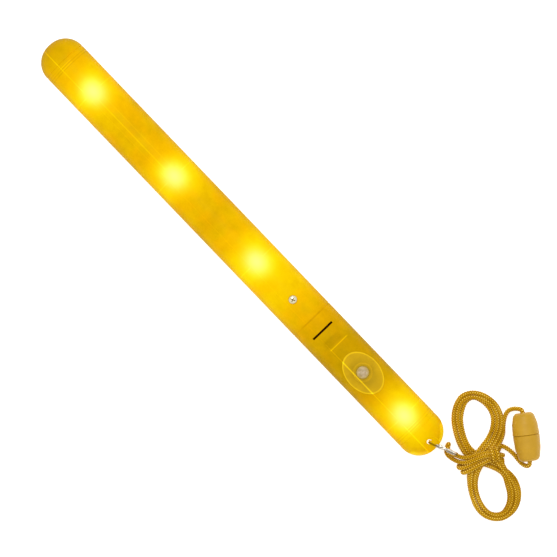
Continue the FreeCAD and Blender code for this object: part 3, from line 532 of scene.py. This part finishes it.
def screw_material():
    """Bright plated head with painted shade in its cross recess."""
    shader = Shader("bright_metal")
    head_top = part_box("body_screw")[1].z
    x, y, z = shader.split(shader.place)
    # Painted shade: dark in the cross recess, below the head's top and near its middle
    deep = shader.fade(shader.math("SUBTRACT", z, head_top), *SCREW_RECESS, 1.0, 0.0)
    away = from_centre(shader, x, y, middle("body_screw"))
    cross = shader.times(deep, shader.fade(away, *SCREW_CROSS, 1.0, 0.0))
    fine = shader.noise(1200.0, 4.0)
    bright = shader.mix(fine, (0.62, 0.55, 0.32, 1), (0.92, 0.85, 0.60, 1))
    shader.bump(fine, 0.1, 0.00005)
    return shader.set(colour=shader.mix(cross, bright, (0.10, 0.07, 0.02, 1)), metallic=1.0,
                      roughness=shader.fade(fine, 0.2, 0.8, 0.16, 0.30))


def ring_material():
    """Bright steel, tarnished in patches, with painted shade in the gap between its two turns and on its
    lower turn.
    """
    shader = Shader("ring_steel")
    outwards = shader.vector("SUBTRACT", shader.place, tuple(middle("split_ring")))
    sideways = shader.vector("DOT_PRODUCT", outwards, (-math.sin(RING_TURN), math.cos(RING_TURN), 0.0))
    # Painted shade on the lower turn, fading out across the gap between the turns
    lower_turn_shade = shader.fade(sideways, -0.00005, 0.00020, 0.7, 0.0)
    tarnish = shader.fade(shader.noise(180.0, 3.0), 0.60, 0.68, 0.0, 0.7)
    fine = shader.noise(1500.0, 4.0)
    bright = shader.mix(fine, (0.86, 0.83, 0.72, 1), (0.99, 0.96, 0.86, 1))
    shade = shader.mix(shader.strongest([tarnish, lower_turn_shade]), bright, (0.12, 0.09, 0.05, 1))
    shader.bump(fine, 0.12, 0.00005)
    return shader.set(colour=shade, metallic=1.0, roughness=shader.fade(fine, 0.2, 0.8, 0.14, 0.26))


def moulded_material(name, colour, rough, grain_scale=1400.0):
    """Moulded plastic or rubber with a fine spark-eroded grain, cloudy colour and lighter worn spots."""
    shader = Shader(name)
    dark = tuple(c * 0.88 for c in colour)
    light = tuple(min(c * 1.12, 1.0) for c in colour)
    pale = tuple(min(c * 1.35 + 0.015, 1.0) for c in colour)
    shade = shader.mix(shader.noise(140.0, 3.0), (*dark, 1), (*light, 1))
    scuff = shader.times(shader.fade(shader.noise(700.0, 5.0), 0.66, 0.80), 0.35)
    shade = shader.mix(scuff, shade, (*pale, 1))
    grain = shader.noise(grain_scale, 3.0)
    shader.bump(grain, 0.3, 0.00008)
    return shader.set(colour=shade, roughness=shader.fade(grain, 0.3, 0.7, rough * 0.85, rough * 1.15),
                      specular=0.35)


def tray_material():
    """The cells' white tray, with a strip of painted shade on it under the slot in the tube."""
    shader = Shader("battery_tray")
    x, _, height = baton_place(shader)
    white = shader.mix(shader.noise(140.0, 3.0), (0.70, 0.66, 0.54, 1), (0.82, 0.78, 0.66, 1))
    # Painted shade: a dark strip on the tray's upper side under the slot
    slot_shade = shader.times(shader.band(x, *SLOT_ALONG), on_top(shader, height, 0.001))
    shade = shader.mix(slot_shade, white, (0.045, 0.012, 0.0, 1))
    shader.bump(shader.noise(1400.0, 3.0), 0.3, 0.00008)
    return shader.set(colour=shade, roughness=0.55, specular=0.02)


def clasp_material():
    """Satin golden-brown plastic, paler where it is worn."""
    shader = Shader("clasp")
    shade = shader.mix(shader.noise(170.0, 3.0), (0.44, 0.235, 0.008, 1), (0.60, 0.335, 0.014, 1))
    scuff = shader.times(shader.fade(shader.noise(420.0, 5.0), 0.62, 0.78), 0.35)
    shade = shader.mix(scuff, shade, (0.70, 0.43, 0.06, 1))
    grain = shader.noise(1500.0, 3.0)
    shader.bump(grain, 0.25, 0.0001)
    return shader.set(colour=shade, roughness=shader.fade(grain, 0.3, 0.7, 0.40, 0.52), specular=0.3)


def board_material():
    """Green solder mask with copper tracks and tinned pads."""
    shader = Shader("circuit_board")
    x, y, _ = baton_place(shader)
    mask = shader.mix(shader.noise(1100.0, 2.0), (0.012, 0.10, 0.035, 1), (0.022, 0.16, 0.055, 1))
    across = shader.math("FRACT", shader.times(y, 1 / TRACK_PITCH))
    along = shader.math("FRACT", shader.times(x, 1 / PAD_PITCH))
    tracks = shader.band(across, 0.5, 0.09, 0.03)
    pads = shader.times(shader.band(along, 0.5, 0.07, 0.02), shader.band(across, 0.5, 0.18, 0.04))
    mask = shader.mix(shader.times(tracks, 0.8), mask, (0.05, 0.25, 0.08, 1))
    shader.bump(shader.plus(tracks, pads), 0.3, 0.00005)
    return shader.set(colour=shader.mix(pads, mask, (0.55, 0.55, 0.53, 1)), roughness=0.35, specular=0.5,
                      coat=0.2)


def lamp_material():
    """A clear yellow lamp."""
    shader = Shader("lamp")
    grain = shader.noise(900.0, 2.0)
    shade = shader.mix(grain, (0.90, 0.80, 0.35, 1), (1.0, 0.93, 0.55, 1))
    glow = shader.mix(grain, (1.0, 0.85, 0.30, 1), (1.0, 0.95, 0.50, 1))
    shader.bump(grain, 0.1, 0.00005)
    return shader.set(colour=shade, roughness=0.2, emission=glow, glow=1.5)


def cell_material():
    """A cell's printed sleeve with a coloured band and no text, and bare ends."""
    shader = Shader("cell_can")
    x = baton_place(shader)[0]
    low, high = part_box("battery_left")
    band = shader.fade(x, low.x + CELL_BAND_AT, low.x + CELL_BAND_AT + 0.0003)
    ends = shader.math("SUBTRACT", 1.0, shader.band(x, (low.x + high.x) / 2, CELL_SLEEVE_HALF, 0.0002))
    streak = shader.noise(300.0, 3.0)
    dark = shader.mix(streak, (0.020, 0.024, 0.030, 1), (0.035, 0.040, 0.050, 1))
    sleeve = shader.mix(band, dark, (0.62, 0.30, 0.03, 1))
    shader.bump(streak, 0.1, 0.0001)
    return shader.set(colour=shader.mix(ends, sleeve, (0.62, 0.62, 0.60, 1)), roughness=0.3,
                      metallic=shader.fade(ends, 0.3, 0.7, 0.4, 1.0), coat=0.3)


def resistor_material():
    """Lacquered body with bands of colour round it."""
    shader = Shader("resistor_body")
    x = baton_place(shader)[0]
    bands = shader.band(shader.math("FRACT", shader.times(x, 1 / RESISTOR_BAND_PITCH)), 0.5, 0.15, 0.05)
    paint = shader.ramp(shader.noise(200.0), [(0.4, (0.35, 0.02, 0.01)), (0.6, (0.05, 0.02, 0.01))])
    grain = shader.noise(1200.0, 3.0)
    body = shader.mix(grain, (0.50, 0.38, 0.22, 1), (0.66, 0.54, 0.36, 1))
    shader.bump(grain, 0.1, 0.00005)
    return shader.set(colour=shader.mix(bands, body, paint), roughness=0.35, coat=0.3)


# ---------------------------------------------------------------- the lanyard's cord, in millimetres
CORD_D = 2.8
CORD_R = CORD_D / 2
FLOOR_GAP = 0.05
FLOOR_Z = CORD_R + FLOOR_GAP
SAMPLES_PER_POINT = 20
SAME_PLACE = 0.001
AROUND = 32
SIDE_START = (0.3, 0.2, 1.0)
BRAID_STRANDS = 4
BRAID_PITCH = 5.6
BRAID_DEPTH = 0.26
BRAID_EDGE = 0.55
BRAID_STEP = 6.0
YARNS = 5.0
# Heights between which the painted shade low down on the cord fades out, in metres
SHADE_LOW = 0.0009
SHADE_HIGH = 0.0026
# Tones from painted shade in the gaps between strands to a painted highlight on their crowns
CORD_TONES = [(0.14, (0.10, 0.030, 0.0)), (0.38, (0.34, 0.145, 0.0)), (0.62, (0.74, 0.420, 0.006)),
              (0.84, (1.00, 0.84, 0.280))]

# One pass round the figure eight: place, how far the strands fan out (0 stacked, 1 side by side), layer
UPPER_LEFT = [(179.8, 11.2, 0.8, 1), (173.0, 12.4, 0.7, 1), (165.8, 15.8, 0.7, 0),
              (159.0, 20.3, 0.8, 0), (154.4, 26.3, 1.0, 0), (152.8, 32.6, 0.8, 0),
              (156.2, 38.2, 0.0, 0)]
UPPER_RIGHT = [(162.6, 41.8, 0.5, 0), (170.8, 42.6, 1.0, 0), (177.8, 39.0, 1.05, 0),
               (182.5, 32.6, 0.95, 0), (184.4, 26.0, 1.0, 2), (184.8, 19.6, 0.9, 2)]
LOWER_LEFT = [(185.8, 12.6, 0.8, 2), (188.4, 7.0, 0.5, 2), (192.8, 1.8, 0.25, 0), (199.2, -2.8, 0.1, 0),
              (207.0, -5.6, 0.2, 0), (214.6, -4.9, 0.0, 0)]
LOWER_RIGHT = [(220.2, 0.8, 0.0, 0), (220.0, 8.4, 0.5, 0), (215.8, 14.6, 0.7, 0), (209.0, 18.5, 0.7, 0),
               (201.8, 20.0, 0.5, 0), (193.6, 17.6, 0.7, 1), (186.4, 13.4, 0.8, 1)]
LAYER_Z = (FLOOR_Z, 3.9, 6.4)
CIRCUIT = UPPER_LEFT + UPPER_RIGHT + LOWER_LEFT + LOWER_RIGHT
# Points before the circuit's end where the legs join it, and past its first limb where the upper tail leaves
LEGS_JOIN = 4
TAIL_LEAVES = 2


def circuit_frames():
    """Each point of the figure eight with the level normal to its left."""
    count = len(CIRCUIT)
    frames = []
    for i, (x, y, fan, layer) in enumerate(CIRCUIT):
        before, after = CIRCUIT[i - 1], CIRCUIT[(i + 1) % count]
        along = Vector((after[0] - before[0], after[1] - before[1], 0)).normalized()
        frames.append((Vector((x, y, 0)), Vector((-along.y, along.x, 0)), fan, layer))
    return frames


FRAMES = circuit_frames()
# How far strands lie from the middle of their limb: stacked, and fanned out (outer and inner ones)
STACKED = 1.32
FANNED = 3.70
INNER = 1.20
# How much a strand sways, and how its sway goes on from point to point and from strand to strand
WANDER = 0.10
WANDER_STEP = 1.7
WANDER_SHIFT = 2.1
PRESSED = 0.97


def strand(index, first, last):
    """Points of one strand backwards round the figure eight; index 0 to 3 is its place from left to right."""
    side = -1 if index < 2 else 1
    inner = index in (1, 2)
    points = []
    for number in range(first, last, -1):
        place, left, fan, layer = FRAMES[number % len(FRAMES)]
        outer_off = STACKED + (FANNED - STACKED) * fan
        inner_off = STACKED + (INNER - STACKED) * fan
        offset = side * (inner_off if inner else outer_off)
        rest_on = (CORD_D * PRESSED) ** 2 - (outer_off - inner_off) ** 2
        raised = math.sqrt(max(0.0, rest_on)) if inner and layer == 0 else 0.0
        loose = WANDER * math.sin(WANDER_STEP * number + WANDER_SHIFT * index)
        point = place + left * (offset + loose)
        points.append((point.x, point.y, LAYER_Z[layer] + raised))
    return points


FOLD = (167.0, 7.2, 5.2)
LEG_OVER = [FOLD, (167.0, 7.2, 6.9), (167.3, 6.3, 8.3), (168.4, 4.9, 8.3), (170.9, 4.2, 7.4),
            (174.4, 5.7, 6.6), (178.0, 7.4, 8.0), (180.6, 10.0, 9.2), (182.8, 14.4, 9.4),
            (185.2, 19.2, 9.2), (188.8, 22.2, 8.4), (195.6, 23.0, 4.8)]
LEG_UNDER = [FOLD, (167.0, 7.2, 3.5), (167.3, 6.3, 2.1), (168.3, 4.4, 1.9), (170.4, 2.4, 1.9),
             (174.2, 2.6, 2.6), (178.6, 4.2, 6.4), (181.8, 7.4, 10.2), (184.2, 13.2, 11.2),
             (186.6, 18.4, 10.0), (190.2, 20.8, 6.8), (196.0, 20.2, 6.0)]
TAIL_UPPER = [(181.8, 37.6, 1.8), (178.6, 41.6, 2.2), (176.9, 45.8, 2.7), (178.2, 49.0, 4.2),
              (180.4, 51.2, 6.2), (182.5, 52.2, 7.85), (185.8, 49.8, 7.85)]
WRAPS = [(197.6, 22.8, 4.6), (192.6, 24.6, 2.0), (187.4, 19.6, 1.45), (184.0, 11.0, 1.45),
         (181.8, 6.2, 1.5), (180.2, 3.1, 2.0), (181.0, 1.8, 4.8), (182.6, 3.4, 8.0), (184.2, 7.2, 9.2),
         (185.8, 13.4, 9.0), (187.6, 19.2, 8.4), (191.6, 23.4, 7.6), (194.6, 26.4, 3.8),
         (191.4, 24.0, 1.45), (188.4, 13.6, 1.45), (186.2, 5.2, 1.6), (184.2, 1.4, 3.4),
         (185.4, 2.2, 7.0), (186.6, 6.2, 9.2), (188.0, 12.6, 9.6)]
# Where the lower cord's turns round the ties begin and end, and their size, in millimetres
KNOT_START = (187.6, 19.8, 7.2)
KNOT_END = (191.4, 24.4, 6.6)
KNOT_LOOP_R = 3.5
KNOT_TURNS = 2.4
KNOT_FIRST = 0.6
POINTS_PER_TURN = 12
TAIL_LOWER = [(188.8, 29.0, 3.4), (193.0, 30.4, 2.4), (198.2, 30.9, 2.2), (202.6, 30.3, 2.8),
              (206.4, 30.4, 4.2), (208.6, 31.9, 6.4), (208.0, 33.8, 7.85), (204.7, 36.2, 7.85)]


def knot_turns():
    """Turns of the cord round the ties where they come together."""
    start, end = Vector(KNOT_START), Vector(KNOT_END)
    axis = (end - start).normalized()
    side = axis.cross(Vector((0, 0, 1))).normalized()
    up = side.cross(axis)
    count = round(KNOT_TURNS * POINTS_PER_TURN)
    points = []
    for i in range(count + 1):
        angle = KNOT_FIRST - 2 * math.pi * i / POINTS_PER_TURN
        centre = start.lerp(end, i / count)
        points.append(tuple(centre + (side * math.cos(angle) + up * math.sin(angle)) * KNOT_LOOP_R))
    return points


def nurbs_line(name, route):
    """The smooth line of a route, read back from a NURBS spline with those control points."""
    curve = bpy.data.curves.new(name + "_line", "CURVE")
    curve.dimensions = "3D"
    spline = curve.splines.new("NURBS")
    spline.points.add(len(route) - 1)
    for point, place in zip(spline.points, route):
        point.co = (place[0] * MM, place[1] * MM, place[2] * MM, 1)
    spline.order_u = 3
    spline.use_endpoint_u = True
    spline.resolution_u = SAMPLES_PER_POINT
    holder = bpy.data.objects.new(name + "_line", curve)
    bpy.context.scene.collection.objects.link(holder)
    mesh = bpy.data.meshes.new_from_object(holder)
    line = np.array([v.co for v in mesh.vertices], float)
    bpy.data.objects.remove(holder)
    bpy.data.meshes.remove(mesh)
    bpy.data.curves.remove(curve)
    keep = np.r_[True, np.linalg.norm(np.diff(line, axis=0), axis=1) > SAME_PLACE * MM]
    return line[keep]


def carried_sides(line):
    """Two directions square to the line and to each other, carried along it without twisting."""
    tangent = np.gradient(line, axis=0)
    tangent /= np.linalg.norm(tangent, axis=1)[:, None]
    normal = np.zeros_like(line)
    side = np.cross(tangent[0], SIDE_START)
    for i, t in enumerate(tangent):
        side = side - t * np.dot(side, t)
        side /= np.linalg.norm(side)
        normal[i] = side
    return normal, np.cross(tangent, normal)


def braided_tube(name, route, material):
    """A round braid: two sets of strands wound opposite ways, passing over and under."""
    line = nurbs_line(name, route)
    normal, across = carried_sides(line)
    along = np.r_[0, np.cumsum(np.linalg.norm(np.diff(line, axis=0), axis=1))]
    turn = np.arange(AROUND) * 2 * math.pi / AROUND
    wind = along[:, None] * 2 * math.pi / (BRAID_PITCH * MM)
    right = BRAID_STRANDS / 2 * (turn[None, :] + wind)
    left = BRAID_STRANDS / 2 * (turn[None, :] - wind)
    crown_right, crown_left = np.abs(np.cos(right)), np.abs(np.cos(left))
    over = 0.5 + 0.5 * np.tanh(BRAID_STEP * np.cos(right) * np.cos(left))
    right_on_top = crown_right * (BRAID_EDGE + (1 - BRAID_EDGE) * crown_left)
    left_on_top = crown_left * (BRAID_EDGE + (1 - BRAID_EDGE) * crown_right)
    relief = over * right_on_top + (1 - over) * left_on_top
    radius = (CORD_R - BRAID_DEPTH + BRAID_DEPTH * relief) * MM
    ring = (np.cos(turn)[None, :, None] * normal[:, None, :]
            + np.sin(turn)[None, :, None] * across[:, None, :])
    points = line[:, None, :] + ring * radius[:, :, None]
    rows = len(line)
    faces = []
    for i in range(rows - 1):
        base = i * AROUND
        for j in range(AROUND):
            k = (j + 1) % AROUND
            faces.append((base + j, base + k, base + AROUND + k, base + AROUND + j))
    faces.append(tuple(range(AROUND - 1, -1, -1)))
    faces.append(tuple((rows - 1) * AROUND + j for j in range(AROUND)))
    mesh = bpy.data.meshes.new(name)
    mesh.from_pydata(points.reshape(-1, 3).tolist(), [], faces)
    layer = mesh.uv_layers.new(name="braid")
    index = np.zeros(len(mesh.loops), np.int32)
    mesh.loops.foreach_get("vertex_index", index)
    uv = np.stack([(index % AROUND) / AROUND, along[index // AROUND] / (BRAID_PITCH * MM)], axis=1)
    layer.data.foreach_set("uv", uv.ravel().astype(np.float32))
    mesh.polygons.foreach_set("use_smooth", [True] * len(mesh.polygons))
    mesh.materials.append(material)
    piece = bpy.data.objects.new(name, mesh)
    bpy.context.scene.collection.objects.link(piece)
    return piece, line


def cord_material():
    """Round braid: each strand has its own fibres, with painted shade in the gaps between strands, a painted
    highlight on their crowns and painted shade low down.
    """
    shader = Shader("cord")
    around, along, _ = shader.split(shader.new("ShaderNodeUVMap", uv_map="braid").outputs["UV"])
    half = BRAID_STRANDS / 2 * 2 * math.pi
    right = shader.times(shader.plus(around, along), half)
    left = shader.times(shader.math("SUBTRACT", around, along), half)
    cross = shader.times(shader.math("COSINE", right), shader.math("COSINE", left))
    over = shader.fade(cross, -0.12, 0.12)
    # Painted shade in the gaps between strands and painted highlight on their crowns
    relief = shader.math("SQRT", shader.math("ABSOLUTE", cross))
    yarn_right = shader.math("SINE", shader.times(right, YARNS))
    yarn_left = shader.math("SINE", shader.times(left, YARNS))
    yarn = shader.plus(shader.times(over, yarn_right),
                       shader.times(shader.math("SUBTRACT", 1.0, over), yarn_left))
    fuzz = shader.noise(2600.0, 4.0)
    side = shader.times(shader.math("SUBTRACT", over, 0.5), 0.12)
    height = shader.split(shader.place)[2]
    # Painted shade: the cord is darker low down, near the floor
    shaded = shader.fade(height, SHADE_LOW, SHADE_HIGH, -0.04, 0.17)
    tone = shader.plus(shader.times(relief, 0.52), shaded, shader.times(yarn, 0.04), side,
                       shader.times(shader.math("SUBTRACT", fuzz, 0.5), 0.30), shader.uneven(90.0, 3.0, 0.22))
    shader.bump(shader.plus(shader.times(yarn, 0.12), shader.times(fuzz, 0.6)), 0.55, 0.0003)
    return shader.set(colour=shader.ramp(tone, CORD_TONES), roughness=0.72, sheen=0.03, sheen_roughness=0.45,
                      specular=0.03)


def add_cords():
    """One cord, hitched at its middle on the ring: its two halves, each with its line from the hitch out."""
    count = len(FRAMES)
    material = cord_material()
    joins = count - LEGS_JOIN
    lap_end = joins - count
    leaves = len(UPPER_LEFT) + TAIL_LEAVES - count
    route = LEG_OVER + strand(2, joins, lap_end)
    route += strand(3, lap_end, leaves) + TAIL_UPPER
    upper = braided_tube("cord_upper", route, material)
    route = LEG_UNDER + strand(1, joins, lap_end)
    route += strand(0, lap_end, lap_end - count + 1) + WRAPS + knot_turns() + TAIL_LOWER
    return upper, braided_tube("cord_lower", route, material)


# ---------------------------------------------------------------- which node has which finish
def finish_nodes():
    white = moulded_material("frame_white", (0.78, 0.74, 0.62), 0.5)
    steel = metal_material("contact_steel", (0.62, 0.61, 0.58), 0.28)
    black = moulded_material("black_plastic", (0.028, 0.028, 0.030), 0.45)
    seal = moulded_material("seal", (0.030, 0.028, 0.026), 0.55, 2200.0)
    amber_cap = amber_material("cap", CAP_MARKS)
    clasp = clasp_material()
    board = board_material()
    cell = cell_material()
    resistor = resistor_material()
    looks = {
        "shell_tube": amber_material("shell", SHELL_MARKS),
        "cap_free_end": amber_cap, "cap_lanyard_end": amber_cap,
        "button_membrane": membrane_material(), "button": button_material(),
        "body_screw": screw_material(),
        "split_ring": ring_material(),
        "clasp_socket": clasp, "clasp_plug": clasp, "light_board": board, "switch_board": board,
        "light_frame_front": white, "light_frame_rear": white, "battery_tray": tray_material(),
        "battery_left": cell, "battery_right": cell, "resistor_front": resistor, "resistor_rear": resistor,
        "o_ring_free_end": seal, "o_ring_lanyard_end": seal,
        "tact_switch": black, "tact_actuator": black, "driver_chip": black,
        "wire_positive": moulded_material("wire_red", (0.45, 0.02, 0.02), 0.4),
        "wire_negative": moulded_material("wire_black", (0.02, 0.02, 0.02), 0.4),
    }
    lamp = lamp_material()
    for name, node in nodes.items():
        if name.startswith("cord_"):
            continue
        look = looks.get(name)
        if look is None:
            look = lamp if name.startswith("led_") else steel
        node.data.materials.clear()
        node.data.materials.append(look)


# ---------------------------------------------------------------- put together
def build():
    add_camera()
    add_world()
    add_floor(floor_material())
    add_key_light()
    (over, over_line), (under, under_line) = add_cords()
    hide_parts("cord_bight", "cord_hank", "cord_tail_upper")
    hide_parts("cord_tail_lower")
    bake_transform(over)
    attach(under, "lanyard")
    finish_nodes()


build()
bpy.context.scene.view_settings.view_transform = "Standard"
